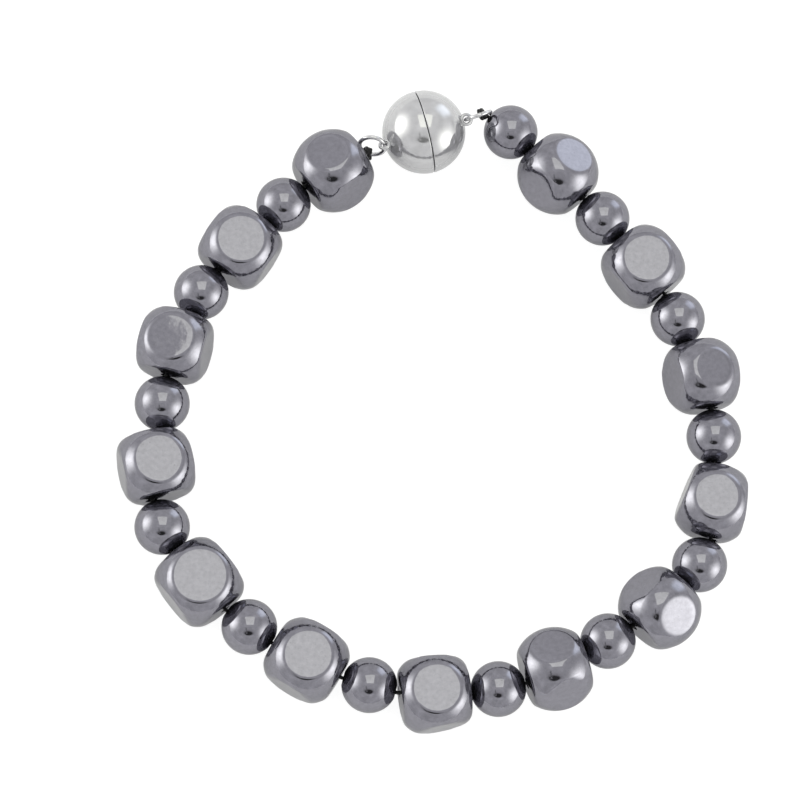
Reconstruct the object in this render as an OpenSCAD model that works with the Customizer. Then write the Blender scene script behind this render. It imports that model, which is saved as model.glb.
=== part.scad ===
/* [Beads] */
// Diameter of the round beads
round_d = 6.5; // [6.3:0.1:6.7]
// Diameter of the hole drilled through every bead
hole_d = 1.2; // [1.15:0.05:1.3]
// Clearance between one bead and the next
bead_gap = 0.1; // [0.05:0.05:0.2]

/* [Cord] */
// Diameter of the cord
cord_d = 0.45; // [0.35:0.05:0.45]

/* [Clasp] */
// Diameter of the closed ball
ball_d = 10; // [9.6:0.1:10.4]
// Width of the seam between the two halves
seam = 0.1; // [0.05:0.05:0.2]
// Diameter of the magnet in each half
magnet_d = 6; // [5:0.5:7]
// Thickness of the magnet in each half
magnet_t = 2; // [1.5:0.5:3]
// Wire diameter of the eye on each half
eye_wire = 0.4; // [0.3:0.05:0.45]
// Diameter of the hole in each eye
eye_hole = 0.8; // [0.7:0.05:0.9]

/* [Jump rings] */
// Wire diameter of the jump rings
ring_wire = 0.45; // [0.35:0.05:0.5]
// Outer diameter of the jump rings
ring_d = 3.6; // [3.4:0.1:3.7]

/* [Hidden] */
HEMATITE = "#6f6d78";
SILVER = "#c9c9c9";
NICKEL = "#8a8a8a";
BLACK = "#1d1d20";

// The string from the right ring round to the left one, clockwise seen from above.
// Each row is a round bead and the cube bead after it. All headings are in degrees,
// anticlockwise from +X, and a row's columns are:
//   0 heading of the round bead's hole      5 width of the cube bead
//   1 heading of the cube bead's hole       6 height of the cube bead
//   2 turn of the cube's body off its hole  7 how much wider its first end is
//   3 roll of the cube's body on its length 8 radius that its corners are worn to
//   4 length of the cube bead
STRING = [
    [ -40,  -45,  -5, -29, 8.4, 8.4, 8.4,  0.0, 4.9],
    [ -47,  -54,   2,   0, 8.4, 8.2, 8.4,  0.0, 5.1],
    [ -66,  -73,  -8, -13, 8.1, 7.5, 8.6,  0.4, 4.9],
    [ -89,  -94, -11,   0, 8.8, 7.3, 8.4, -1.2, 5.0],
    [-119, -146,  11, -32, 7.6, 8.1, 8.5,  0.0, 4.9],
    [-151, -154,  -8,  32, 7.3, 8.4, 8.4,  0.0, 4.9],
    [-169, -183,  10,   0, 8.1, 8.3, 8.4, -0.6, 5.1],
    [-195, -207,  -5,   0, 8.7, 8.2, 8.4,  0.0, 5.1],
    [-216, -227,  -5,   0, 8.8, 8.2, 8.4,  0.0, 5.3],
    [-250, -276,  18,   6, 7.7, 8.3, 8.4,  0.0, 5.1],
    [-277, -287,   1, -10, 7.6, 7.9, 8.4,  0.0, 5.0],
    [-306, -313,   7,   0, 7.8, 8.4, 8.4,  0.0, 5.1],
    [-318, -331,   6, -19, 7.8, 8.4, 8.6,  0.0, 5.0],
];
PAIRS = len(STRING);

// Centre of the first round bead, where the string starts
STRING_START = [10.15, 33.8];
// Centre of the clasp ball on the table, and the heading and rise of its axis
BALL_AT = [-0.33, 33.74];
BALL_HEADING = 14;
BALL_RISE = 2;
// Heading and rise of each eye from the ball's centre: both sit above the ball's axis
EYE_RIGHT = [11, 22];
EYE_LEFT = [203, 16];
// How far the middle of each eye's hole stands out from the ball
eye_out = eye_hole / 2 + 0.05;
// Clearance of each magnet in its pocket
magnet_gap = 0.05;
// Heading, dip and roll of each jump ring from its eye
RING_RIGHT = [21, 6, 105];
RING_LEFT = [180, 22, -65];
// Where the cord holds each ring: the angle round the ring from its far end
HOLD_RIGHT = -45;
HOLD_LEFT = 62;
// Slit where each jump ring was closed
ring_slit = 0.05;

function two(n) = n < 10 ? str("0", n) : str(n);
function round_name(k) = str("round_bead_", two(k + 1));
function cube_name(k) = str("cube_bead_", two(k + 1));

$fn = 64;

function dir(heading) = [cos(heading), sin(heading), 0];
function unit(v) = v / norm(v);

// The way down, in the axes of a body that is rolled about its length
function down(roll) = [0, -sin(roll), -cos(roll)];
// How far a cube bead of half sizes half reaches along the unit vector g, when its corners
// are worn to a sphere of radius r
function reach(g, half, r) =
    let (cut = [for (i = [0 : 2]) if (abs(g[i]) * r > half[i]) i])
    len(cut) == 0 ? r
        : abs(g[cut[0]]) * half[cut[0]]
          + sqrt(r * r - half[cut[0]] * half[cut[0]]) * sqrt(1 - g[cut[0]] * g[cut[0]]);
// Height of a cube bead's centre when it lies on the table
function cube_z(k) =
    let (row = STRING[k])
    reach(down(row[3]), [row[4], row[5], row[6]] / 2, row[8]);
// A round bead hangs on the cord, midway between the cube beads beside it
function round_z(k) = k == 0 ? cube_z(0) : (cube_z(k - 1) + cube_z(k)) / 2;

// From the centre of a round bead to the centre of the cube bead beside it, where the
// mouths of their holes face each other and bead_gap is left between the two beads
function stride(round_hole, cube_hole, turn, length) =
    let (
        out = dir(round_hole),
        face = dir(cube_hole + turn),
        lean = out * face
    )
    out * round_d / 2
        + face * (bead_gap + round_d / 2 * (1 - lean))
        + dir(cube_hole) * length / 2 / cos(turn);
function row_stride(k, hole) =
    stride(hole, STRING[k][1], STRING[k][2], STRING[k][4]);
function round_xy(k) = k == 0
    ? [STRING_START[0], STRING_START[1], 0]
    : cube_xy(k - 1) + row_stride(k - 1, STRING[k][0]);
function cube_xy(k) = round_xy(k) + row_stride(k, STRING[k][0]);

CUBE_AT = [for (k = [0 : PAIRS - 1]) cube_xy(k) + [0, 0, cube_z(k)]];
ROUND_AT = [for (k = [0 : PAIRS - 1]) round_xy(k) + [0, 0, round_z(k)]];

// A bead's hole climbs as the string does from the bead before it to the bead after it,
// and the holes of the first and the last bead are level
function climb(before, after) = [0, 0, unit(after - before)[2]];
ROUND_HOLE = [
    for (k = [0 : PAIRS - 1])
        dir(STRING[k][0]) + (k == 0 ? [0, 0, 0] : climb(CUBE_AT[k - 1], CUBE_AT[k]))
];
CUBE_HOLE = [
    for (k = [0 : PAIRS - 1])
        dir(STRING[k][1])
            + (k == PAIRS - 1 ? [0, 0, 0] : climb(ROUND_AT[k], ROUND_AT[k + 1]))
];

// The clasp ball rests on the table
ball_c = [BALL_AT[0], BALL_AT[1], ball_d / 2];
function clasp_axis(side) =
    side * [cos(BALL_HEADING) * cos(BALL_RISE), sin(BALL_HEADING) * cos(BALL_RISE), sin(BALL_RISE)];
function eye_from_ball(side) =
    let (eye = side > 0 ? EYE_RIGHT : EYE_LEFT)
    [cos(eye[0]) * cos(eye[1]), sin(eye[0]) * cos(eye[1]), sin(eye[1])];
function eye_at(side) = ball_c + eye_from_ball(side) * (ball_d / 2 + eye_out);

// A jump ring's pose is its heading, dip and roll. Its wire crosses its eye along
// ring_across and its middle lies along ring_out.
ring_r = (ring_d - ring_wire) / 2;
function ring_out(pose) = [cos(pose[0]) * cos(pose[1]), sin(pose[0]) * cos(pose[1]), -sin(pose[1])];
function ring_across(pose) =
    let (flat = dir(pose[0] + 90), up = cross(ring_out(pose), flat))
    flat * cos(pose[2]) + up * sin(pose[2]);
function ring_c(pose, side) = eye_at(side) + ring_out(pose) * ring_r;

// The mouths of the beads' holes, before (-1) and after (1) the bead along the string
function round_mouth(k, end) = ROUND_AT[k] + ROUND_HOLE[k] * end * round_d / 2;
function cube_mouth(k, end) =
    CUBE_AT[k] + CUBE_HOLE[k] * end * STRING[k][4] / 2 / cos(STRING[k][2]);
// The cord runs through each bead's centre and midway between the mouths that meet
string_route = [
    for (k = [0 : PAIRS - 1])
        each [
            if (k > 0) (cube_mouth(k - 1, 1) + round_mouth(k, -1)) / 2,
            ROUND_AT[k],
            (round_mouth(k, 1) + cube_mouth(k, -1)) / 2,
            CUBE_AT[k],
        ]
];
function reversed(list) = [for (i = [len(list) - 1 : -1 : 0]) list[i]];

// At each end the cord leaves its bead, bends round the ring's wire and goes back into the
// same hole, where it ends
bend_r = (ring_wire + cord_d) / 2 + 0.05;
bend_from = 115;
bend_steps = 8;
// How far the two strands lie from the middle of the hole, how far out of it they stay
// straight, how deep in it they part, and how deep the cord's end goes
strand_off = (hole_d - cord_d) / 2 - 0.07;
straight_out = 0.25;
part_deep = 1.6;
end_deep = 1.2;
function ring_loop(mouth, out, pose, side, hold) =
    let (
        a = unit(out),
        held = ring_c(pose, side)
            + (ring_out(pose) * cos(hold) + ring_across(pose) * sin(hold)) * ring_r,
        wire = ring_across(pose) * cos(hold) - ring_out(pose) * sin(hold),
        pull = held - mouth,
        d = unit(pull - wire * (pull * wire)),
        m = cross(d, wire),
        apart = unit(m - a * (m * a)) * strand_off
    )
    concat(
        [mouth - a * part_deep + apart, mouth + a * straight_out + apart],
        [for (i = [0 : bend_steps])
            let (t = bend_from * (1 - 2 * i / bend_steps))
            held + (d * cos(t) + m * sin(t)) * bend_r],
        [mouth + a * straight_out - apart, mouth - a * end_deep - apart]
    );
cord_route = concat(
    reversed(ring_loop(round_mouth(0, -1), -ROUND_HOLE[0], RING_RIGHT, 1, HOLD_RIGHT)),
    string_route,
    ring_loop(cube_mouth(PAIRS - 1, 1), CUBE_HOLE[PAIRS - 1], RING_LEFT, -1, HOLD_LEFT)
);

// A tube of eight sides swept along a route, with each ring square to the route
cord_sides = 8;
function tangent(route, i) =
    unit(route[min(i + 1, len(route) - 1)] - route[max(i - 1, 0)]);
// Each ring's first side is carried along from the ring before, so the tube isn't twisted
function carried(route, i, before) =
    let (t = tangent(route, i), flat = before - t * (before * t))
    unit(flat);
function frames(route, i, before) = i >= len(route) ? []
    : let (side = carried(route, i, before))
      concat([side], frames(route, i + 1, side));
module tube(route, d) {
    sides = frames(route, 0, [0.1, 0.2, 1]);
    rings = len(route);
    points = [
        for (i = [0 : rings - 1])
            let (t = tangent(route, i), u = sides[i], v = cross(t, u))
            for (j = [0 : cord_sides - 1])
                let (a = 360 * j / cord_sides)
                route[i] + (u * cos(a) + v * sin(a)) * d / 2
    ];
    walls = [
        for (i = [0 : rings - 2])
            for (j = [0 : cord_sides - 1])
                let (
                    a = i * cord_sides + j,
                    b = i * cord_sides + (j + 1) % cord_sides
                )
                each [[a, a + cord_sides, b], [b, a + cord_sides, b + cord_sides]]
    ];
    first = [for (j = [0 : cord_sides - 1]) j];
    last = [for (j = [cord_sides - 1 : -1 : 0]) (rings - 1) * cord_sides + j];
    polyhedron(points, concat(walls, [first, last]));
}

// Turns a child that lies along +Z to lie along v
module along(v) {
    rotate([0, acos(v[2] / norm(v)), atan2(v[1], v[0])]) children();
}

module round_bead(k) {
    color(HEMATITE)
        translate(ROUND_AT[k])
            along(ROUND_HOLE[k])
                difference() {
                    sphere(d = round_d);
                    cylinder(h = 2 * round_d, d = hole_d, center = true);
                }
}

// A cube bead before drilling: six flats ground on a ball, tapered in width along its length
module cube_body(length, width, height, wider, corner_r) {
    intersection() {
        sphere(r = corner_r);
        linear_extrude(height = height, center = true)
            polygon([
                [-length / 2, -(width + wider) / 2],
                [length / 2, -(width - wider) / 2],
                [length / 2, (width - wider) / 2],
                [-length / 2, (width + wider) / 2],
            ]);
    }
}

module cube_bead(k) {
    row = STRING[k];
    color(HEMATITE)
        translate(CUBE_AT[k])
            difference() {
                rotate([row[3], 0, row[1] + row[2]])
                    cube_body(row[4], row[5], row[6], row[7], row[8]);
                along(CUBE_HOLE[k])
                    cylinder(h = 2 * row[4], d = hole_d, center = true);
            }
}

module torus(r, wire) {
    rotate_extrude() translate([r, 0]) circle(d = wire);
}

// One half of the ball, its seam face down and its eye's place along +Z. The sphere is
// turned so that its own poles lie away from the eye and the seam.
module half_ball() {
    difference() {
        intersection() {
            rotate([50, 0, 0]) sphere(d = ball_d, $fn = 96);
            translate([0, 0, seam / 2]) cylinder(h = ball_d, d = ball_d + 1);
        }
        cylinder(h = seam / 2 + magnet_t + magnet_gap, d = magnet_d + 2 * magnet_gap);
    }
}

module clasp_half(side, pose) {
    color(SILVER) {
        translate(ball_c) along(clasp_axis(side)) half_ball();
        translate(eye_at(side))
            along(ring_across(pose))
                torus((eye_hole + eye_wire) / 2, eye_wire);
    }
}

module magnet(side) {
    color(NICKEL)
        translate(ball_c)
            along(clasp_axis(side))
                translate([0, 0, seam / 2]) cylinder(h = magnet_t, d = magnet_d);
}

module jump_ring(side, pose) {
    e = ring_out(pose);
    w = ring_across(pose);
    n = cross(e, w);
    color(SILVER)
        multmatrix([
            [e[0], w[0], n[0], ring_c(pose, side)[0]],
            [e[1], w[1], n[1], ring_c(pose, side)[1]],
            [e[2], w[2], n[2], ring_c(pose, side)[2]],
            [0, 0, 0, 1],
        ])
            difference() {
                torus(ring_r, ring_wire);
                translate([0, ring_r, 0]) cube([ring_slit, 1, 1], center = true);
            }
}

module cord() {
    color(BLACK) tube(cord_route, cord_d);
}

for (k = [0 : PAIRS - 1]) {
    round_bead(k);
    cube_bead(k);
}
clasp_half(-1, RING_LEFT);  // clasp_half_left
clasp_half(1, RING_RIGHT);  // clasp_half_right
magnet(-1);  // magnet_left
magnet(1);  // magnet_right
jump_ring(-1, RING_LEFT);  // ring_left
jump_ring(1, RING_RIGHT);  // ring_right
cord();
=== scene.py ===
import math
from collections import namedtuple

import bpy
from bpy.props import FloatProperty, FloatVectorProperty, IntProperty, PointerProperty
from mathutils import Euler, Matrix, Vector


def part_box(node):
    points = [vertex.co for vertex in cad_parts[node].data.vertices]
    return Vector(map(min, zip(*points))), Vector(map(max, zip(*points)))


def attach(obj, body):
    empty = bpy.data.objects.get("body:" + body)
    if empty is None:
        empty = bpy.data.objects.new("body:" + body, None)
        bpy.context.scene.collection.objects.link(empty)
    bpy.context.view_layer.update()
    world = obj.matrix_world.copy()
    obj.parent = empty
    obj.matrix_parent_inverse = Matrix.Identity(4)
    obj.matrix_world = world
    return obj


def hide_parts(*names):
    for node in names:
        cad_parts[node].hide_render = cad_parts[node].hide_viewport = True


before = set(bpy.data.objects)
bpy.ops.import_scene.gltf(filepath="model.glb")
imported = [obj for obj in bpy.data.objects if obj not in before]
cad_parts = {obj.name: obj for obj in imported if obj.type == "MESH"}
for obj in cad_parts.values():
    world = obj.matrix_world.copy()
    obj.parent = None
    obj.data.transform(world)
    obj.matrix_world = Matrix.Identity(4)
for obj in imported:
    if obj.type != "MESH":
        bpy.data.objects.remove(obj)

bl_info = {
    "name": "Beaded Bracelet",
    "version": (1, 0, 0),
    "blender": (4, 5, 0),
    "location": "View3D > Sidebar > Bracelet",
    "description": "Models and finishes a bracelet of hematite beads with a ball clasp",
    "category": "Object",
}

MM = 0.001
X, Y, Z = 0, 1, 2
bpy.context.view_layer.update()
# Points nearer than this are one point
TOUCH = 0.001 * MM
# The share of a length or a direction past which a test takes it for the end
NEARLY = 0.9

# The string of beads, one row for each round bead and the cube bead after it. A cube bead is
# turned away from its hole's heading and rolled about its own length, and wider says what its
# first end has over its middle. Headings are in degrees anticlockwise from +X, lengths in
# millimetres.
StringRow = namedtuple(
    "StringRow",
    "round_heading cube_heading turn roll length width height wider corner_radius",
)
STRING = [
    StringRow(-40, -45, -5, -29, 8.4, 8.4, 8.4, 0.0, 4.9),
    StringRow(-47, -54, 2, 0, 8.4, 8.2, 8.4, 0.0, 5.1),
    StringRow(-66, -73, -8, -13, 8.1, 7.5, 8.6, 0.4, 4.9),
    StringRow(-89, -94, -11, 0, 8.8, 7.3, 8.4, -1.2, 5.0),
    StringRow(-119, -146, 11, -32, 7.6, 8.1, 8.5, 0.0, 4.9),
    StringRow(-151, -154, -8, 32, 7.3, 8.4, 8.4, 0.0, 4.9),
    StringRow(-169, -183, 10, 0, 8.1, 8.3, 8.4, -0.6, 5.1),
    StringRow(-195, -207, -5, 0, 8.7, 8.2, 8.4, 0.0, 5.1),
    StringRow(-216, -227, -5, 0, 8.8, 8.2, 8.4, 0.0, 5.3),
    StringRow(-250, -276, 18, 6, 7.7, 8.3, 8.4, 0.0, 5.1),
    StringRow(-277, -287, 1, -10, 7.6, 7.9, 8.4, 0.0, 5.0),
    StringRow(-306, -313, 7, 0, 7.8, 8.4, 8.4, 0.0, 5.1),
    StringRow(-318, -331, 6, -19, 7.8, 8.4, 8.6, 0.0, 5.0),
]
PAIRS = len(STRING)

# The clasp: heading and rise of its axis, then of each eye from the ball's centre, and the
# heading, dip and roll of each jump ring from its eye
CLASP_AXIS = (14, 2)
EYES = {"right": (11, 22), "left": (203, 16)}
RING_POSES = {"right": (21, 6, 105), "left": (180, 22, -65)}
# From the ball's surface to the hole of each eye
EYE_GAP = 0.05 * MM
# Where the cord starts and ends on each ring, in degrees from its far end, and how many
# turns more than one it takes
WRAPS = {"right": (-66, -45, 1), "left": (66, 32, 2)}


def round_name(k):
    """The CAD node of a round bead, counted from 0."""
    return f"round_bead_{k + 1:02d}"


def cube_name(k):
    """The CAD node of a cube bead, counted from 0."""
    return f"cube_bead_{k + 1:02d}"


def box_centre(name):
    """The middle of a CAD node's box."""
    low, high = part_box(name)
    return (low + high) / 2


def linear(hex_colour):
    """A screen colour such as 8a8a8a as linear red, green and blue."""
    values = [int(hex_colour[i:i + 2], 16) / 255 for i in (0, 2, 4)]
    return tuple(
        v / 12.92 if v <= 0.04045 else ((v + 0.055) / 1.055) ** 2.4 for v in values
    )


# Places and directions

def heading(degrees, rise=0.0):
    """The unit vector at a heading on the table and a rise above it, in degrees."""
    h, r = math.radians(degrees), math.radians(rise)
    return Vector((math.cos(h) * math.cos(r), math.sin(h) * math.cos(r), math.sin(r)))


def turn_z_to(direction):
    """The turn that lays a piece's own Z axis along a direction."""
    d = direction.normalized()
    return Euler((0, math.acos(max(-1, min(1, d.z))), math.atan2(d.y, d.x)))


def climb(before, after):
    """How the string rises from one bead centre to another."""
    return Vector((0, 0, (after - before).normalized().z))


def round_hole(k):
    """Which way the hole of a round bead runs."""
    along = heading(STRING[k].round_heading)
    if k == 0:
        return along
    return along + climb(box_centre(cube_name(k - 1)), box_centre(cube_name(k)))


def cube_hole(k):
    """Which way the hole of a cube bead runs."""
    along = heading(STRING[k].cube_heading)
    if k == PAIRS - 1:
        return along
    return along + climb(box_centre(round_name(k)), box_centre(round_name(k + 1)))


def ball_centre():
    """The middle of the clasp, midway between its magnets."""
    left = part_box("magnet_left")
    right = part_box("magnet_right")
    return (left[0] + left[1] + right[0] + right[1]) / 4


def eye_place(side):
    """The middle of an eye's hole."""
    sizes = bpy.context.scene.bracelet_clasp
    out = sizes.ball_diameter / 2 + sizes.eye_hole / 2 + EYE_GAP
    return ball_centre() + heading(*EYES[side]) * out


def ring_axes(side):
    """Out from the eye, across the ring, and along its axis."""
    yaw, dip, roll = RING_POSES[side]
    out = heading(yaw, -dip)
    flat = heading(yaw + 90)
    up = out.cross(flat)
    across = flat * math.cos(math.radians(roll)) + up * math.sin(math.radians(roll))
    return out, across, out.cross(across)


def ring_radius():
    """From a jump ring's axis to the middle of its wire."""
    sizes = bpy.context.scene.bracelet_clasp
    return (sizes.ring_diameter - sizes.ring_wire) / 2


def ring_centre(side):
    """The middle of a jump ring, which hangs on its eye."""
    return eye_place(side) + ring_axes(side)[0] * ring_radius()


def half_hole(row):
    """From a cube bead's centre to the mouth of its hole."""
    return row.length / 2 * MM / math.cos(math.radians(row.turn))


# Modelling by hand

def let_go():
    """Leaves edit mode and deselects everything."""
    if bpy.context.object and bpy.context.object.mode != "OBJECT":
        bpy.ops.object.mode_set(mode="OBJECT")
    bpy.ops.object.select_all(action="DESELECT")


def take(piece):
    """Selects a piece alone and makes it active."""
    let_go()
    piece.select_set(True)
    bpy.context.view_layer.objects.active = piece


def named(name):
    """Names the primitive that was just added."""
    piece = bpy.context.object
    piece.name = piece.data.name = name
    return piece


def select_part(piece, kind, test):
    """Enters edit mode with the vertices, edges or faces that pass a test of their place,
    of their two ends, or of their centre and normal."""
    take(piece)
    mesh = piece.data
    for group in (mesh.vertices, mesh.edges, mesh.polygons):
        group.foreach_set("select", [False] * len(group))
    if kind == "VERT":
        picked = [test(v.co) for v in mesh.vertices]
        mesh.vertices.foreach_set("select", picked)
    elif kind == "EDGE":
        places = [v.co for v in mesh.vertices]
        picked = [test(places[e.vertices[0]], places[e.vertices[1]]) for e in mesh.edges]
        mesh.edges.foreach_set("select", picked)
    else:
        picked = [test(f.center, f.normal) for f in mesh.polygons]
        mesh.polygons.foreach_set("select", picked)
    if not any(picked):
        raise RuntimeError(f"{piece.name}: nothing was selected")
    bpy.context.tool_settings.mesh_select_mode = (
        kind == "VERT", kind == "EDGE", kind == "FACE",
    )
    bpy.ops.object.mode_set(mode="EDIT")


def done():
    """Leaves edit mode."""
    bpy.ops.object.mode_set(mode="OBJECT")


def set_in_place(piece, place, turn=None):
    """Turns and moves a piece that was modelled at the origin, and applies both."""
    take(piece)
    piece.location = place
    if turn is not None:
        piece.rotation_euler = turn
    bpy.ops.object.transform_apply(location=True, rotation=True, scale=True)


def copy_of(model, name):
    """A copy of a model, with its own mesh."""
    take(model)
    bpy.ops.object.duplicate()
    return named(name)


def discard(piece):
    take(piece)
    bpy.ops.object.delete()


def cut_or_join(piece, tool, operation):
    """Cuts a tool out of a piece, or joins it on, and discards the tool."""
    take(piece)
    boolean = piece.modifiers.new("Tool", "BOOLEAN")
    boolean.object = tool
    boolean.operation = operation
    boolean.solver = "MANIFOLD"
    bpy.ops.object.modifier_apply(modifier=boolean.name)
    discard(tool)


def tidy_normals(piece):
    """Merges points that touch, and points every face outwards."""
    select_part(piece, "VERT", lambda place: True)
    bpy.ops.mesh.remove_doubles(threshold=TOUCH)
    bpy.ops.mesh.normals_make_consistent(inside=False)
    done()


def shade(piece, angle):
    """Smooth shading, apart from edges sharper than an angle in degrees."""
    take(piece)
    bpy.ops.object.shade_smooth_by_angle(angle=math.radians(angle))


def finish_piece(piece, node, material):
    """Gives a piece its finish, hangs it on the root body and hides the CAD node it stands
    for.
    """
    piece.data.materials.clear()
    piece.data.materials.append(material)
    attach(piece, "root")
    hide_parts(node)


# Materials

# What soft noise mostly stays between
NOISE_ENDS = {"From_Min": 0.3, "From_Max": 0.7}


def add_node(tree, kind, settings=None, **inputs):
    """Adds a node with its settings. An input is a value, or the output linked to it; its
    name is the socket's, with _ for a space, or in_ and the socket's number."""
    made = tree.nodes.new(kind)
    for name, value in (settings or {}).items():
        setattr(made, name, value)
    for name, value in inputs.items():
        key = int(name[3:]) if name[:3] == "in_" else name.replace("_", " ")
        if isinstance(value, bpy.types.NodeSocket):
            tree.links.new(value, made.inputs[key])
        else:
            made.inputs[key].default_value = value
    return made


def start_material(name):
    """An empty material, its node tree, and the object's own coordinates in metres."""
    material = bpy.data.materials.get(name) or bpy.data.materials.new(name)
    material.use_nodes = True
    tree = material.node_tree
    tree.nodes.clear()
    place = add_node(tree, "ShaderNodeTexCoord").outputs["Object"]
    return material, tree, place


def end_material(tree, **surface):
    """Joins a surface with these inputs to the material's output."""
    shader = add_node(tree, "ShaderNodeBsdfPrincipled", **surface)
    add_node(tree, "ShaderNodeOutputMaterial", Surface=shader.outputs["BSDF"])


def grain(tree, place, size, detail=2.0, stretch=(1, 1, 1)):
    """Soft noise whose features are about a size in metres."""
    mapped = add_node(
        tree, "ShaderNodeMapping", Vector=place,
        Scale=[s / size for s in stretch],
    ).outputs["Vector"]
    return add_node(
        tree, "ShaderNodeTexNoise", Vector=mapped, Scale=1.0, Detail=detail,
    ).outputs["Fac"]


def shade_of(colour, factor):
    """A colour made darker or lighter, as a node takes it."""
    return (*(c * factor for c in colour), 1)


def mottled(tree, noise, colour, darker, lighter):
    """A colour that soft noise moves from a darker to a lighter shade of it."""
    share = add_node(
        tree, "ShaderNodeMapRange", Value=noise, **NOISE_ENDS,
    ).outputs["Result"]
    return add_node(
        tree, "ShaderNodeMix", {"data_type": "RGBA"}, in_0=share,
        in_6=shade_of(colour, darker), in_7=shade_of(colour, lighter),
    ).outputs[2]


def polished_hematite():
    """Hematite: the polish mirrors the room a quarter as bright, clouds and specks keep it
    stone and not metal, and the worn corners are a little duller than the ground flats."""
    material, tree, place = start_material("polished_hematite")
    look = bpy.context.scene.bracelet_finishes
    clouds = grain(tree, place, 0.5 * MM, detail=4.0)
    specks = grain(tree, place, 0.22 * MM)
    speckled = add_node(
        tree, "ShaderNodeMapRange", Value=specks,
        From_Min=0.62, From_Max=0.74, To_Min=0.0, To_Max=0.35,
    ).outputs["Result"]
    stone = add_node(
        tree, "ShaderNodeMix", {"data_type": "RGBA"}, in_0=speckled,
        in_6=mottled(tree, clouds, look.hematite, 0.93, 1.08),
        in_7=shade_of(look.hematite, 0.62),
    ).outputs[2]
    worn = add_node(
        tree, "ShaderNodeAttribute", {"attribute_name": "worn"},
    ).outputs["Fac"]
    polish = add_node(
        tree, "ShaderNodeMapRange", Value=grain(tree, place, 0.5 * MM, detail=3.0),
        **NOISE_ENDS, To_Min=0.035, To_Max=0.06,
    ).outputs["Result"]
    dulling = add_node(
        tree, "ShaderNodeMath", {"operation": "MULTIPLY_ADD"},
        in_0=worn, in_1=0.025, in_2=polish,
    ).outputs["Value"]
    wave = add_node(
        tree, "ShaderNodeBump",
        Height=grain(tree, place, 2.4 * MM, detail=2.5),
        Strength=1.0, Distance=0.024 * MM,
    ).outputs["Normal"]
    wave = add_node(
        tree, "ShaderNodeBump", Normal=wave, Height=specks,
        Strength=1.0, Distance=0.0015 * MM,
    ).outputs["Normal"]
    # The tint dims the mirror towards a bead's outline
    end_material(
        tree, Base_Color=stone, Metallic=0.97, Roughness=dulling, Normal=wave,
        Specular_Tint=(0.78, 0.78, 0.78, 1),
    )
    return material


def bright_plating(name, mirror, tone):
    """Silver-coloured plating: a clear mirror on the rings, and on the tumbled shell of the
    clasp a milky one, whose lights melt into their surroundings."""
    material, tree, place = start_material(name)
    look = bpy.context.scene.bracelet_finishes
    smears = grain(tree, place, 1.8 * MM, detail=3.0, stretch=(1, 1, 2.5))
    plate = mottled(tree, smears, look.plating, 0.96 * tone, 1.03 * tone)
    polish = add_node(
        tree, "ShaderNodeMapRange", Value=smears, **NOISE_ENDS,
        To_Min=0.05, To_Max=0.11,
    ).outputs["Result"]
    dents = add_node(
        tree, "ShaderNodeBump",
        Height=grain(tree, place, 3.0 * MM, detail=1.0),
        Strength=1.0, Distance=0.02 * MM,
    ).outputs["Normal"]
    end_material(
        tree, Base_Color=plate, Metallic=mirror, Roughness=polish, Normal=dents,
    )
    return material


def nickel_plating():
    """Nickel on the magnets inside the clasp: the sintered grain under it blurs the light."""
    material, tree, place = start_material("nickel_plating")
    look = bpy.context.scene.bracelet_finishes
    sinter = grain(tree, place, 0.12 * MM, detail=3.0)
    metal = mottled(tree, sinter, look.nickel, 0.85, 1.1)
    rough = add_node(
        tree, "ShaderNodeMapRange", Value=sinter, **NOISE_ENDS,
        To_Min=0.28, To_Max=0.42,
    ).outputs["Result"]
    bump = add_node(
        tree, "ShaderNodeBump", Height=sinter, Strength=1.0, Distance=0.004 * MM,
    ).outputs["Normal"]
    end_material(tree, Base_Color=metal, Metallic=1.0, Roughness=rough, Normal=bump)
    return material


def waxed_cord():
    """Black waxed cord: the twist of its two plies runs round it, and wax fills it here and
    there so that it glints softly. Its fibres are drawn as coarse as they need to show."""
    material, tree, place = start_material("waxed_cord")
    look = bpy.context.scene.bracelet_finishes
    along_cord = add_node(
        tree, "ShaderNodeUVMap", {"uv_map": "UVMap"},
    ).outputs["UV"]
    ply = 0.3 * MM
    twisted = add_node(
        tree, "ShaderNodeMapping", Vector=along_cord,
        Rotation=(0, 0, math.radians(38)), Scale=(1.0 / ply, 1.0 / ply, 1),
    ).outputs["Vector"]
    # At this scale one band of the wave texture is one ply wide
    one_band = 0.31
    plies = add_node(
        tree, "ShaderNodeTexWave", {"wave_type": "BANDS", "wave_profile": "SIN"},
        Vector=twisted, Scale=one_band, Distortion=0.6, Detail=1.0,
    ).outputs["Fac"]
    fibre = grain(tree, place, 0.06 * MM)
    # Painted shade and light: the black is darker in the grooves between the plies and
    # lighter on their crowns, following the same twist as the bump
    black_with_painted_ply_shade = add_node(
        tree, "ShaderNodeMix", {"data_type": "RGBA"}, in_0=plies,
        in_6=shade_of(look.cord, 0.5), in_7=shade_of(look.cord, 1.5),
    ).outputs[2]
    wax = add_node(
        tree, "ShaderNodeMapRange", Value=fibre, **NOISE_ENDS, To_Min=0.38, To_Max=0.6,
    ).outputs["Result"]
    twist = add_node(
        tree, "ShaderNodeBump", Height=plies, Strength=0.8, Distance=0.04 * MM,
    ).outputs["Normal"]
    twist = add_node(
        tree, "ShaderNodeBump", Normal=twist, Height=fibre,
        Strength=0.5, Distance=0.01 * MM,
    ).outputs["Normal"]
    end_material(
        tree, Base_Color=black_with_painted_ply_shade, Roughness=wax, Normal=twist,
        Specular_IOR_Level=0.3, Sheen_Weight=0.05, Sheen_Roughness=0.5,
    )
    return material


# Sizes and colours that a user would change

def length_setting(name, description, default):
    """A length in metres."""
    return FloatProperty(
        name=name, description=description, default=default, unit="LENGTH",
    )


def light_setting(name, description, default):
    """A brightness."""
    return FloatProperty(name=name, description=description, default=default, min=0)


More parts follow.
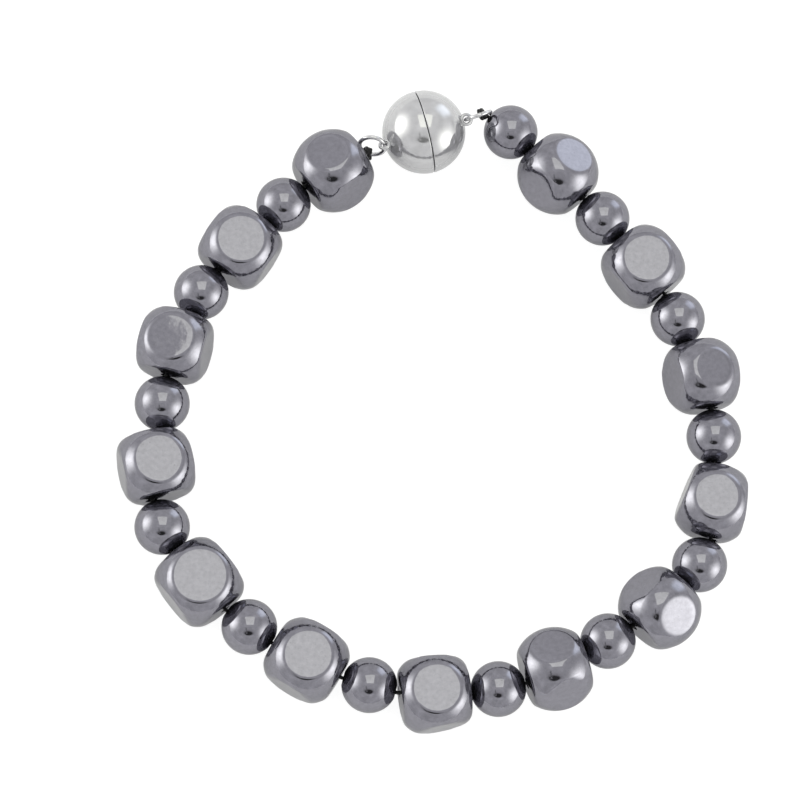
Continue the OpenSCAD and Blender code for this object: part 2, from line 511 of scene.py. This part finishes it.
def finish_setting(name, description, hex_colour):
    """A colour, given as its screen value."""
    return FloatVectorProperty(
        name=name, description=description, default=linear(hex_colour),
        subtype="COLOR", min=0, max=1,
    )


class BeadSizes(bpy.types.PropertyGroup):
    round_diameter: length_setting(
        "Round bead", "Diameter of the round beads",
        2 * (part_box(round_name(1))[1].z - box_centre(round_name(1)).z),
    )
    hole_diameter: length_setting("Hole", "Diameter of the drilled holes", 1.2 * MM)
    mouth_chamfer: length_setting(
        "Mouth chamfer", "Chamfer at the mouths of the holes", 0.04 * MM,
    )
    cells: IntProperty(
        name="Cells", description="Cells along each side of a cube bead's mesh",
        default=60, min=12, max=80,
    )
    rim_wear: IntProperty(
        name="Rim wear", description="How softly the rims of the flats are rounded",
        default=22, min=0, max=40,
    )


class ClaspSizes(bpy.types.PropertyGroup):
    ball_diameter: length_setting("Ball", "Diameter of the closed ball", 10 * MM)
    seam: length_setting("Seam", "Width of the seam between the halves", 0.1 * MM)
    seam_bevel: length_setting(
        "Seam bevel", "Rounding of each half's edge at the seam", 0.1 * MM,
    )
    pocket_diameter: length_setting("Pocket", "Diameter of the magnet's pocket", 6.1 * MM)
    pocket_depth: length_setting("Pocket depth", "Depth of the magnet's pocket", 2.05 * MM)
    eye_wire: length_setting("Eye wire", "Wire diameter of each eye", 0.4 * MM)
    eye_hole: length_setting("Eye hole", "Diameter of the hole in each eye", 0.8 * MM)
    ring_wire: length_setting("Ring wire", "Wire diameter of the jump rings", 0.5 * MM)
    ring_diameter: length_setting("Ring", "Outer diameter of the jump rings", 3.6 * MM)
    ring_slit: length_setting("Ring slit", "Slit where each jump ring was closed", 0.05 * MM)


class CordSizes(bpy.types.PropertyGroup):
    diameter: length_setting("Cord", "Diameter of the cord", 0.45 * MM)


class Finishes(bpy.types.PropertyGroup):
    hematite: finish_setting("Hematite", "What the polished stone mirrors", "85848c")
    plating: finish_setting("Plating", "What the plated metal mirrors", "c8c8ca")
    nickel: finish_setting("Nickel", "Colour of the magnets", "b4b0a8")
    cord: finish_setting("Cord", "Colour of the cord", "0e0e10")


class StageSettings(bpy.types.PropertyGroup):
    room: light_setting("Room", "Brightness of the white room all round", 1.0)
    floor: light_setting("Floor", "How much the lit table top glows by itself", 0.87)
    overhead: light_setting("Overhead card", "Brightness of the card over the table", 1.92)
    left: light_setting("Left light", "Brightness of the soft light on the left", 3.1)
    right: light_setting("Right light", "Brightness of the soft light on the right", 2.8)
    distance: length_setting("Camera distance", "From the camera to the bracelet", 0.45)
    frame_width: length_setting(
        "Frame width", "Width that the picture takes in at the bracelet", 0.0944,
    )


# The pieces

def flare_hole_ends(cutter, mouth, radius):
    """Widens both ends of a cylinder on the Z axis into 45 degree cones."""
    reach = 0.6 * MM
    flare = (radius + reach) / radius
    for end in (-1, 1):

        def at_end(place, normal):
            return normal.z * end > NEARLY and place.z * end > NEARLY * mouth

        select_part(cutter, "FACE", at_end)
        bpy.ops.mesh.extrude_region_move(
            TRANSFORM_OT_translate={"value": (0, 0, end * reach)},
        )
        bpy.ops.transform.resize(
            value=(flare, flare, 1), center_override=(0, 0, end * (mouth + reach)),
        )
        done()


class BRACELET_OT_round_beads(bpy.types.Operator):
    """Models one round bead, drills it and strings its copies"""

    bl_idname = "bracelet.round_beads"
    bl_label = "Round beads"

    def execute(self, context):
        sizes = context.scene.bracelet_beads
        radius = sizes.round_diameter / 2
        hole = sizes.hole_diameter / 2
        let_go()
        bpy.ops.mesh.primitive_uv_sphere_add(segments=72, ring_count=48, radius=radius)
        model = named("round_bead_model")
        mouth = hole + sizes.mouth_chamfer

        def near_pole(place):
            return math.hypot(place.x, place.y) < mouth

        select_part(model, "VERT", near_pole)
        bpy.ops.mesh.delete(type="VERT")
        done()
        rim = min(math.hypot(v.co.x, v.co.y) for v in model.data.vertices)
        height = math.sqrt(radius ** 2 - rim ** 2)

        def on_rim(a, b):
            return all(math.hypot(p.x, p.y) < rim + TOUCH for p in (a, b))

        select_part(model, "EDGE", on_rim)
        bpy.ops.mesh.extrude_edges_move()
        narrow = hole / rim
        drop = (height - (rim - hole)) / height
        bpy.ops.transform.resize(value=(narrow, narrow, drop), center_override=(0, 0, 0))
        bpy.ops.mesh.bridge_edge_loops(number_cuts=3)
        done()
        tidy_normals(model)
        shade(model, angle=30)
        stone = polished_hematite()
        for k in range(PAIRS):
            name = round_name(k)
            bead = copy_of(model, name + "_polished")
            set_in_place(bead, box_centre(name), turn_z_to(round_hole(k)))
            finish_piece(bead, name, stone)
        discard(model)
        return {"FINISHED"}


class BRACELET_OT_cube_beads(bpy.types.Operator):
    """Grinds six flats on a ball for each cube bead, softens their rims and drills it"""

    bl_idname = "bracelet.cube_beads"
    bl_label = "Cube beads"

    # The share of the height, above and below the middle, that is a bead's side
    side_band = 0.3
    # A point this deep under the ground flats is all worn
    worn_depth = 0.35 * MM

    def grind(self, bead, axis, end, half):
        """Presses what stands beyond a flat back on to it."""
        select_part(bead, "VERT", lambda place: place[axis] * end > half)
        squash = [1, 1, 1]
        squash[axis] = 0
        middle = [0, 0, 0]
        middle[axis] = end * half
        bpy.ops.transform.resize(value=squash, center_override=middle)
        done()

    def ball(self, row, sizes):
        """A ball of even cells, worn to the radius of the bead's corners."""
        bpy.ops.mesh.primitive_cube_add(size=2 * row.corner_radius * MM)
        bead = named("cube_bead_model")
        select_part(bead, "VERT", lambda place: True)
        bpy.ops.mesh.subdivide(number_cuts=sizes.cells - 1)
        bpy.ops.transform.tosphere(value=1, center_override=(0, 0, 0))
        done()
        grow = row.corner_radius * MM / bead.data.vertices[0].co.length
        select_part(bead, "VERT", lambda place: True)
        bpy.ops.transform.resize(value=(grow, grow, grow), center_override=(0, 0, 0))
        done()
        return bead

    def mark_wear(self, bead, row):
        """Marks how far each point is worn away from the ground flats, from 0 to 1."""
        halves = (row.length / 2 * MM, row.width / 2 * MM, row.height / 2 * MM)
        worn = bead.data.attributes.new("worn", "FLOAT", "POINT")
        lean = row.wider / row.length
        marks = []
        for v in bead.data.vertices:
            side = halves[1] - lean * v.co.x
            gap = min(
                halves[0] - abs(v.co.x),
                (side - abs(v.co.y)) / math.hypot(1, lean),
                halves[2] - abs(v.co.z),
            )
            marks.append(max(0.0, min(1.0, gap / self.worn_depth)))
        worn.data.foreach_set("value", marks)

    def drill(self, bead, k, place, sizes):
        """Cuts the hole through a bead in its place, with a chamfer at both mouths."""
        row = STRING[k]
        radius = sizes.hole_diameter / 2
        mouth = half_hole(row) - sizes.mouth_chamfer
        let_go()
        bpy.ops.mesh.primitive_cylinder_add(
            vertices=40, radius=radius, depth=2 * mouth, end_fill_type="NGON",
        )
        cutter = named("drill")
        flare_hole_ends(cutter, mouth, radius)
        set_in_place(cutter, place, turn_z_to(cube_hole(k)))
        cut_or_join(bead, cutter, "DIFFERENCE")

    def execute(self, context):
        sizes = context.scene.bracelet_beads
        stone = polished_hematite()
        for k, row in enumerate(STRING):
            name = cube_name(k)
            let_go()
            bead = self.ball(row, sizes)
            for end in (-1, 1):
                self.grind(bead, X, end, row.length / 2 * MM)
                self.grind(bead, Z, end, row.height / 2 * MM)
            lean = math.atan2(row.wider, row.length)
            for end in (-1, 1):
                set_in_place(bead, (0, 0, 0), Euler((0, 0, end * lean)))
                self.grind(bead, Y, end, row.width / 2 * MM * math.cos(lean))
                set_in_place(bead, (0, 0, 0), Euler((0, 0, -end * lean)))
            select_part(bead, "VERT", lambda place: True)
            bpy.ops.mesh.vertices_smooth(factor=0.5, repeat=sizes.rim_wear)
            done()
            # The sides are rounder than the flats above and below
            band = self.side_band * row.height * MM
            select_part(bead, "VERT", lambda place: abs(place.z) < band)
            bpy.ops.mesh.vertices_smooth(factor=0.5, repeat=2 * sizes.rim_wear)
            done()
            self.mark_wear(bead, row)
            turn = Euler(
                (math.radians(row.roll), 0, math.radians(row.cube_heading + row.turn))
            )
            set_in_place(bead, (0, 0, 0), turn)
            corners = [v.co for v in bead.data.vertices]
            low = Vector([min(c[way] for c in corners) for way in (X, Y, Z)])
            high = Vector([max(c[way] for c in corners) for way in (X, Y, Z)])
            place = box_centre(name) - (low + high) / 2
            set_in_place(bead, place)
            self.drill(bead, k, place, sizes)
            shade(bead, angle=32)
            bead.name = bead.data.name = name + "_polished"
            finish_piece(bead, name, stone)
        return {"FINISHED"}


class BRACELET_OT_clasp(bpy.types.Operator):
    """Models the half balls of the clasp, each with its pocket and its soldered eye"""

    bl_idname = "bracelet.clasp"
    bl_label = "Ball clasp"

    def half_ball(self, sizes):
        """Half a ball with its seam face down, standing on the Z axis."""
        radius = sizes.ball_diameter / 2
        face = sizes.seam / 2
        bpy.ops.mesh.primitive_uv_sphere_add(segments=128, ring_count=80, radius=radius)
        model = named("half_ball_model")
        select_part(model, "VERT", lambda place: True)
        bpy.ops.mesh.bisect(
            plane_co=(0, 0, face), plane_no=(0, 0, 1), use_fill=True, clear_inner=True,
            threshold=0.1 * TOUCH,
        )
        done()

        def on_seam(place, normal):
            return abs(place.z - face) < TOUCH and normal.z < -NEARLY

        select_part(model, "FACE", on_seam)
        bpy.ops.mesh.inset(thickness=radius - sizes.pocket_diameter / 2)
        bpy.ops.mesh.extrude_region_move(
            TRANSFORM_OT_translate={"value": (0, 0, sizes.pocket_depth)},
        )
        done()

        def seam_rim(a, b):
            return all(
                abs(p.z - face) < TOUCH and math.hypot(p.x, p.y) > NEARLY * radius
                for p in (a, b)
            )

        select_part(model, "EDGE", seam_rim)
        bpy.ops.mesh.bevel(
            offset=sizes.seam_bevel, segments=4, profile=0.5, affect="EDGES",
        )
        done()
        tidy_normals(model)
        return model

    def eye(self, sizes, side):
        """A wire eye in its place, turned as its jump ring needs."""
        bpy.ops.mesh.primitive_torus_add(
            major_radius=(sizes.eye_hole + sizes.eye_wire) / 2,
            minor_radius=sizes.eye_wire / 2,
            major_segments=48, minor_segments=20,
        )
        eye = named("eye")
        set_in_place(eye, eye_place(side), turn_z_to(ring_axes(side)[1]))
        return eye

    def execute(self, context):
        sizes = context.scene.bracelet_clasp
        plating = bright_plating("milky_plating", mirror=0.7, tone=0.88)
        let_go()
        model = self.half_ball(sizes)
        for side, end in (("left", -1), ("right", 1)):
            name = "clasp_half_" + side
            half = copy_of(model, name + "_plated")
            set_in_place(half, ball_centre(), turn_z_to(heading(*CLASP_AXIS) * end))
            let_go()
            cut_or_join(half, self.eye(sizes, side), "UNION")
            shade(half, angle=40)
            finish_piece(half, name, plating)
        discard(model)
        return {"FINISHED"}


class BRACELET_OT_jump_rings(bpy.types.Operator):
    """Bends wire into the two jump rings, with the slit where each was closed"""

    bl_idname = "bracelet.jump_rings"
    bl_label = "Jump rings"

    def execute(self, context):
        sizes = context.scene.bracelet_clasp
        radius = ring_radius()
        slit = sizes.ring_slit / radius
        plating = bright_plating("bright_plating", mirror=1.0, tone=1.0)
        for side in ("left", "right"):
            name = "ring_" + side
            let_go()
            bpy.ops.mesh.primitive_circle_add(
                vertices=20, radius=sizes.ring_wire / 2, fill_type="NGON",
                location=(0, radius, 0), rotation=(0, math.radians(90), 0),
            )
            ring = named(name + "_plated")
            bpy.ops.object.transform_apply(location=True, rotation=True, scale=True)
            set_in_place(ring, (0, 0, 0), (0, 0, slit / 2))
            select_part(ring, "FACE", lambda place, normal: True)
            bpy.ops.mesh.spin(
                steps=72, angle=2 * math.pi - slit, center=(0, 0, 0), axis=(0, 0, 1),
            )
            done()
            tidy_normals(ring)
            shade(ring, angle=40)
            out, across, axis = ring_axes(side)
            turn = Matrix((out, across, axis)).transposed().to_euler()
            set_in_place(ring, ring_centre(side), turn)
            finish_piece(ring, name, plating)
        return {"FINISHED"}


class BRACELET_OT_cord(bpy.types.Operator):
    """Runs the cord through every bead and round both jump rings"""

    bl_idname = "bracelet.cord"
    bl_label = "Cord"

    # Where the cord meets the ring's wire, in degrees round it from the side away from the
    # bead, and the turn of each straight step
    bend_from = 115
    bend_step = 19
    # How far the cord runs straight out of the mouth
    straight_out = 0.25 * MM
    # How deep in the end bead it moves aside for its end, and how deep the end goes in
    part_deep = 1.6 * MM
    end_deep = 1.2 * MM
    # Between the cord and the ring's wire, and between the cord and the wall of the hole
    off_wire = 0.05 * MM
    off_wall = 0.07 * MM

    def ring_loop(self, mouth, out, side):
        """Out of the mouth, round the ring's wire and back into the mouth."""
        hole = bpy.context.scene.bracelet_beads.hole_diameter
        thick = bpy.context.scene.bracelet_cord.diameter
        wire_thick = bpy.context.scene.bracelet_clasp.ring_wire
        bend = (wire_thick + thick) / 2 + self.off_wire
        off = (hole - thick) / 2 - self.off_wall
        along = out.normalized()
        ring_out, across, _ = ring_axes(side)
        start, end, turns = WRAPS[side]

        def on_wire(share):
            """A point on the ring's wire, and the two directions across the wire there."""
            hold = math.radians(start + (end - start) * share)
            held = ring_centre(side) + (
                ring_out * math.cos(hold) + across * math.sin(hold)
            ) * ring_radius()
            wire = across * math.cos(hold) - ring_out * math.sin(hold)
            pull = held - mouth
            away = (pull - wire * pull.dot(wire)).normalized()
            return held, away, away.cross(wire)

        beside = on_wire(0)[2]
        apart = (beside - along * beside.dot(along)).normalized() * off
        route = [
            mouth - along * self.part_deep + apart,
            mouth + along * self.straight_out + apart,
        ]
        sweep = 2 * self.bend_from + 360 * turns
        steps = round(sweep / self.bend_step)
        for i in range(steps + 1):
            held, away, beside = on_wire(i / steps)
            angle = math.radians(self.bend_from - sweep * i / steps)
            route.append(held + (away * math.cos(angle) + beside * math.sin(angle)) * bend)
        route.append(mouth + along * self.straight_out - apart)
        route.append(mouth - along * self.end_deep - apart)
        return route

    def string_route(self):
        """Through each bead's centre, and midway between the mouths that meet."""
        radius = bpy.context.scene.bracelet_beads.round_diameter / 2

        def round_mouth(k, end):
            return box_centre(round_name(k)) + round_hole(k) * end * radius

        def cube_mouth(k, end):
            return box_centre(cube_name(k)) + cube_hole(k) * end * half_hole(STRING[k])

        route = []
        for k in range(PAIRS):
            if k > 0:
                route.append((cube_mouth(k - 1, 1) + round_mouth(k, -1)) / 2)
            route.append(box_centre(round_name(k)))
            route.append((round_mouth(k, 1) + cube_mouth(k, -1)) / 2)
            route.append(box_centre(cube_name(k)))
        first = self.ring_loop(round_mouth(0, -1), -round_hole(0), "right")
        last = self.ring_loop(cube_mouth(PAIRS - 1, 1), cube_hole(PAIRS - 1), "left")
        return first[::-1] + route + last

    def execute(self, context):
        diameter = context.scene.bracelet_cord.diameter
        route = self.string_route()
        let_go()
        curve = bpy.data.curves.new("cord_waxed", "CURVE")
        curve.dimensions = "3D"
        line = curve.splines.new("POLY")
        line.points.add(len(route) - 1)
        for point, place in zip(line.points, route):
            point.co = (*place, 1)
        curve.bevel_depth = diameter / 2
        curve.bevel_resolution = 4
        curve.use_fill_caps = True
        cord = bpy.data.objects.new("cord_waxed", curve)
        context.scene.collection.objects.link(cord)
        take(cord)
        bpy.ops.object.convert(target="MESH")
        self.lay_pattern(cord.data, route, diameter)
        tidy_normals(cord)
        shade(cord, angle=50)
        finish_piece(cord, "cord", waxed_cord())
        return {"FINISHED"}

    def lay_pattern(self, mesh, route, diameter):
        """A UV map in metres: along the cord, and round it."""
        lengths = [0.0]
        for a, b in zip(route, route[1:]):
            lengths.append(lengths[-1] + (b - a).length)
        while mesh.uv_layers:
            mesh.uv_layers.remove(mesh.uv_layers[0])
        layer = mesh.uv_layers.new(name="UVMap")
        sides = len(mesh.vertices) // len(route)
        for face in mesh.polygons:
            steps = [mesh.loops[i].vertex_index % sides for i in face.loop_indices]
            wraps = max(steps) - min(steps) > sides / 2
            for i, step in zip(face.loop_indices, steps):
                ring = min(mesh.loops[i].vertex_index // sides, len(route) - 1)
                if wraps and step < sides / 2:
                    step += sides
                around = step / sides * math.pi * diameter
                layer.data[i].uv = (lengths[ring], around)


class BRACELET_OT_magnets(bpy.types.Operator):
    """Gives the magnets inside the clasp their nickel finish"""

    bl_idname = "bracelet.magnets"
    bl_label = "Magnets"

    def execute(self, context):
        nickel = nickel_plating()
        for side in ("left", "right"):
            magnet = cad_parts["magnet_" + side]
            for slot in magnet.material_slots:
                slot.material = nickel
        return {"FINISHED"}


# The stage

# From the bracelet to the far cards, in metres
CARD_DISTANCE = 1.8
# Where the camera aims, the way from there to it, and the picture's upward direction
AIM = Vector((-3.70, 0.91, 4.3)) * MM
TO_CAMERA = Vector((-0.075, -0.228, 0.9708)).normalized()
IMAGE_UP = Vector((0, 0.9735, 0.2286))
# Tints of lamplight, of daylight and of what is plain grey
WARM = (1.02, 1.03, 0.95)
COOL = (0.95, 1.0, 1.06)
PLAIN = (1, 1, 1)
# How fast a bell falls: to a ninetieth at the middle of each edge
BELL_FALL = 4.5
# A shade's bell is this many times too strong, so that its middle is dark all over
SHADE_CORE = 3.0


def bell(tree, centred):
    """1 in the middle of a card, and falling like a bell towards its edges."""
    away = add_node(
        tree, "ShaderNodeVectorMath", {"operation": "DOT_PRODUCT"},
        in_0=centred, in_1=centred,
    ).outputs["Value"]
    fall = add_node(
        tree, "ShaderNodeMath", {"operation": "MULTIPLY"}, in_0=away, in_1=-BELL_FALL,
    ).outputs["Value"]
    return add_node(
        tree, "ShaderNodeMath", {"operation": "EXPONENT"}, in_0=fall,
    ).outputs["Value"]


def soft_lamp(strength, tint):
    """Paint for a card: light that is added to what is behind it."""
    def paint(tree, centred, clear):
        light = add_node(
            tree, "ShaderNodeMath", {"operation": "MULTIPLY"},
            in_0=bell(tree, centred), in_1=strength,
        ).outputs["Value"]
        glow = add_node(
            tree, "ShaderNodeEmission", Color=(*tint, 1), Strength=light,
        ).outputs["Emission"]
        return add_node(
            tree, "ShaderNodeAddShader", in_0=glow, in_1=clear,
        ).outputs["Shader"]

    return paint


def soft_shade(strength):
    """Paint for a card: a dim thing that hides what is behind it."""
    def paint(tree, centred, clear):
        dark = add_node(
            tree, "ShaderNodeEmission", Color=(*PLAIN, 1), Strength=strength,
        ).outputs["Emission"]
        share = add_node(
            tree, "ShaderNodeMath", {"operation": "MULTIPLY", "use_clamp": True},
            in_0=bell(tree, centred), in_1=SHADE_CORE,
        ).outputs["Value"]
        return add_node(
            tree, "ShaderNodeMixShader", in_0=share, in_1=clear, in_2=dark,
        ).outputs["Shader"]

    return paint


def even_light(lower, upper, tint, fade):
    """Paint for a card: as bright as lower at its lower edge and upper at its upper edge,
    and fading out over a share of its half width and half height."""
    def paint(tree, centred, clear):
        across = add_node(tree, "ShaderNodeSeparateXYZ", Vector=centred).outputs
        strength = add_node(
            tree, "ShaderNodeMapRange", Value=across["Y"],
            From_Min=-1.0, From_Max=1.0, To_Min=lower, To_Max=upper,
        ).outputs["Result"]
        glow = add_node(
            tree, "ShaderNodeEmission", Color=(*tint, 1), Strength=strength,
        ).outputs["Emission"]
        shares = []
        for way in ("X", "Y"):
            away = add_node(
                tree, "ShaderNodeMath", {"operation": "ABSOLUTE"}, in_0=across[way],
            ).outputs["Value"]
            shares.append(add_node(
                tree, "ShaderNodeMapRange", {"interpolation_type": "SMOOTHSTEP"},
                Value=away, From_Min=1.0, From_Max=1.0 - fade, To_Min=0.0, To_Max=1.0,
            ).outputs["Result"])
        share = add_node(
            tree, "ShaderNodeMath", {"operation": "MULTIPLY"},
            in_0=shares[0], in_1=shares[1],
        ).outputs["Value"]
        return add_node(
            tree, "ShaderNodeMixShader", in_0=share, in_1=clear, in_2=glow,
        ).outputs["Shader"]

    return paint


class BRACELET_OT_stage(bpy.types.Operator):
    """Sets the pale table, the soft cards and the camera"""

    bl_idname = "bracelet.stage"
    bl_label = "Stage"

    def card(self, name, centre, right, up, half, paint, taper=1.0):
        """A card with its half width and half height, seen only in reflections. A taper
        makes its upper edge that many times as wide."""
        let_go()
        bpy.ops.mesh.primitive_grid_add(x_subdivisions=8, y_subdivisions=8, size=2)
        card = named(name)
        card.scale = (*half, 1)
        bpy.ops.object.transform_apply(location=False, rotation=False, scale=True)
        select_part(card, "VERT", lambda place: place.y > NEARLY * half[1])
        bpy.ops.transform.resize(
            value=(taper, 1, 1), center_override=(0, 0, 0), use_proportional_edit=True,
            proportional_edit_falloff="LINEAR", proportional_size=2 * half[1],
        )
        done()
        material, tree, _ = start_material(name)
        card.data.materials.append(material)
        centred = add_node(
            tree, "ShaderNodeMapping", Location=(-1, -1, 0), Scale=(2, 2, 1),
            Vector=add_node(tree, "ShaderNodeUVMap").outputs["UV"],
        ).outputs["Vector"]
        clear = add_node(tree, "ShaderNodeBsdfTransparent").outputs["BSDF"]
        add_node(
            tree, "ShaderNodeOutputMaterial", Surface=paint(tree, centred, clear),
        )
        card.location = centre
        turn = Matrix((right, up, right.cross(up))).transposed()
        card.rotation_euler = turn.to_euler()
        card.visible_camera = False
        card.visible_shadow = False

    def far_card(self, name, azimuth, polar, half_degrees, paint):
        """A card far away in a direction and square to it. half_degrees says how much of
        the view its half width and half height take in."""
        away = heading(azimuth, 90 - polar)
        right = Vector((0, 0, 1)).cross(away).normalized()
        half = [CARD_DISTANCE * math.tan(math.radians(a)) for a in half_degrees]
        self.card(name, away * CARD_DISTANCE, right, away.cross(right), half, paint)

    def level_card(self, name, centre, half, paint, taper=1.0):
        """A card that lies level over the table."""
        right, up = Vector((1, 0, 0)), Vector((0, 1, 0))
        self.card(name, centre, right, up, half, paint, taper)

    def floor(self, name, depth, tone, glow):
        """A sheet of pale paper, depth below the bracelet, that also glows by itself."""
        let_go()
        bpy.ops.mesh.primitive_grid_add(
            x_subdivisions=40, y_subdivisions=40, size=4, location=(0, 0, -depth),
        )
        floor = named(name)
        material, tree, place = start_material(name)
        floor.data.materials.append(material)
        paper = mottled(
            tree, grain(tree, place, 40 * MM), PLAIN,
            darker=tone - 0.01, lighter=tone + 0.01,
        )
        plain = add_node(tree, "ShaderNodeBsdfDiffuse", Color=paper).outputs["BSDF"]
        lit = add_node(
            tree, "ShaderNodeEmission", Color=(*PLAIN, 1), Strength=glow,
        ).outputs["Emission"]
        both = add_node(
            tree, "ShaderNodeAddShader", in_0=plain, in_1=lit,
        ).outputs["Shader"]
        add_node(tree, "ShaderNodeOutputMaterial", Surface=both)
        floor.visible_shadow = False
        return floor

    def room(self, settings):
        """White walls and ceiling, a little uneven, which the polish shows as soft clouds."""
        world = bpy.data.worlds.get("white_room") or bpy.data.worlds.new("white_room")
        bpy.context.scene.world = world
        world.use_nodes = True
        tree = world.node_tree
        tree.nodes.clear()
        uneven = add_node(
            tree, "ShaderNodeTexNoise", Scale=2.2, Detail=3.0, Roughness=0.6,
        ).outputs["Fac"]
        brightness = add_node(
            tree, "ShaderNodeMapRange", Value=uneven, **NOISE_ENDS,
            To_Min=0.76 * settings.room, To_Max=1.09 * settings.room,
        ).outputs["Result"]
        walls = add_node(
            tree, "ShaderNodeBackground", Color=(*PLAIN, 1), Strength=brightness,
        ).outputs["Background"]
        add_node(tree, "ShaderNodeOutputWorld", Surface=walls)

    def lights(self, settings):
        """A soft light on each side, a window at the far right, and a card overhead."""
        self.far_card(
            "left_light", azimuth=168, polar=74, half_degrees=(38, 41),
            paint=soft_lamp(settings.left, WARM),
        )
        self.far_card(
            "right_light", azimuth=-24, polar=73, half_degrees=(38, 42),
            paint=soft_lamp(settings.right, WARM),
        )
        self.far_card(
            "window", azimuth=47, polar=72, half_degrees=(19, 24),
            paint=even_light(lower=2.5, upper=1.3, tint=COOL, fade=0.75),
        )
        bright = settings.overhead
        self.level_card(
            "overhead_card", centre=(0.009, 0.558, 1.8), half=(0.45, 0.666),
            paint=even_light(lower=bright, upper=0.85 * bright, tint=WARM, fade=0.08),
            taper=1.72,
        )

    def shades(self):
        """What stands on the camera's side and is dimmer than the room."""
        self.level_card(
            "grey_wall", centre=(-0.432, -0.936, 1.836), half=(0.9, 0.72),
            paint=even_light(lower=0.80, upper=0.86, tint=PLAIN, fade=0.55),
        )
        self.level_card(
            "camera_stand", centre=(-0.08, -0.49, 0.62), half=(0.36, 0.24),
            paint=soft_shade(0.03),
        )
        self.level_card(
            "camera_column", centre=(-0.19, -0.31, 0.62), half=(0.045, 0.20),
            paint=soft_shade(0.3),
        )

    def camera(self, settings):
        """A camera at the angle from which the bracelet was seen."""
        data = bpy.data.cameras.new("camera")
        camera = bpy.data.objects.new("camera", data)
        bpy.context.scene.collection.objects.link(camera)
        camera.location = AIM + TO_CAMERA * settings.distance
        right = IMAGE_UP.cross(TO_CAMERA).normalized()
        up = TO_CAMERA.cross(right)
        camera.rotation_euler = Matrix((right, up, TO_CAMERA)).transposed().to_euler()
        data.sensor_fit = "HORIZONTAL"
        data.angle = 2 * math.atan(settings.frame_width / 2 / settings.distance)
        data.clip_start = 0.01
        data.clip_end = 20
        bpy.context.scene.camera = camera

    def execute(self, context):
        settings = context.scene.bracelet_stage
        # The table top that the eye sees glows, so it stays white; the paper under it is
        # what the beads mirror
        table = self.floor("white_table", depth=0, tone=0.26, glow=settings.floor)
        table.visible_glossy = False
        table.visible_diffuse = False
        paper = self.floor("mirrored_paper", depth=0.05 * MM, tone=0.79, glow=0.17)
        paper.visible_camera = False
        self.room(settings)
        self.lights(settings)
        self.shades()
        self.camera(settings)
        context.scene.view_settings.view_transform = "Standard"
        return {"FINISHED"}


class BRACELET_PT_panel(bpy.types.Panel):
    """Lists the bracelet's sizes, finishes and pieces"""

    bl_idname = "BRACELET_PT_panel"
    bl_label = "Bracelet"
    bl_space_type = "VIEW_3D"
    bl_region_type = "UI"
    bl_category = "Bracelet"

    def draw(self, context):
        for group, (title, kind) in GROUPS.items():
            box = self.layout.box()
            box.label(text=title)
            for name in kind.__annotations__:
                box.prop(getattr(context.scene, group), name)
        for step in STEPS:
            self.layout.operator(step.bl_idname)


STEPS = (
    BRACELET_OT_round_beads,
    BRACELET_OT_cube_beads,
    BRACELET_OT_clasp,
    BRACELET_OT_jump_rings,
    BRACELET_OT_cord,
    BRACELET_OT_magnets,
    BRACELET_OT_stage,
)
GROUPS = {
    "bracelet_beads": ("Beads", BeadSizes),
    "bracelet_clasp": ("Clasp and rings", ClaspSizes),
    "bracelet_cord": ("Cord", CordSizes),
    "bracelet_finishes": ("Finishes", Finishes),
    "bracelet_stage": ("Stage", StageSettings),
}


def register():
    for group, (_, kind) in GROUPS.items():
        bpy.utils.register_class(kind)
        setattr(bpy.types.Scene, group, PointerProperty(type=kind))
    for kind in (*STEPS, BRACELET_PT_panel):
        bpy.utils.register_class(kind)


def unregister():
    for kind in reversed((*STEPS, BRACELET_PT_panel)):
        bpy.utils.unregister_class(kind)
    for group, (_, kind) in GROUPS.items():
        delattr(bpy.types.Scene, group)
        bpy.utils.unregister_class(kind)


def main():
    register()
    bpy.ops.bracelet.round_beads()
    bpy.ops.bracelet.cube_beads()
    bpy.ops.bracelet.clasp()
    bpy.ops.bracelet.jump_rings()
    bpy.ops.bracelet.cord()
    bpy.ops.bracelet.magnets()
    bpy.ops.bracelet.stage()


if __name__ == "__main__":
    main()
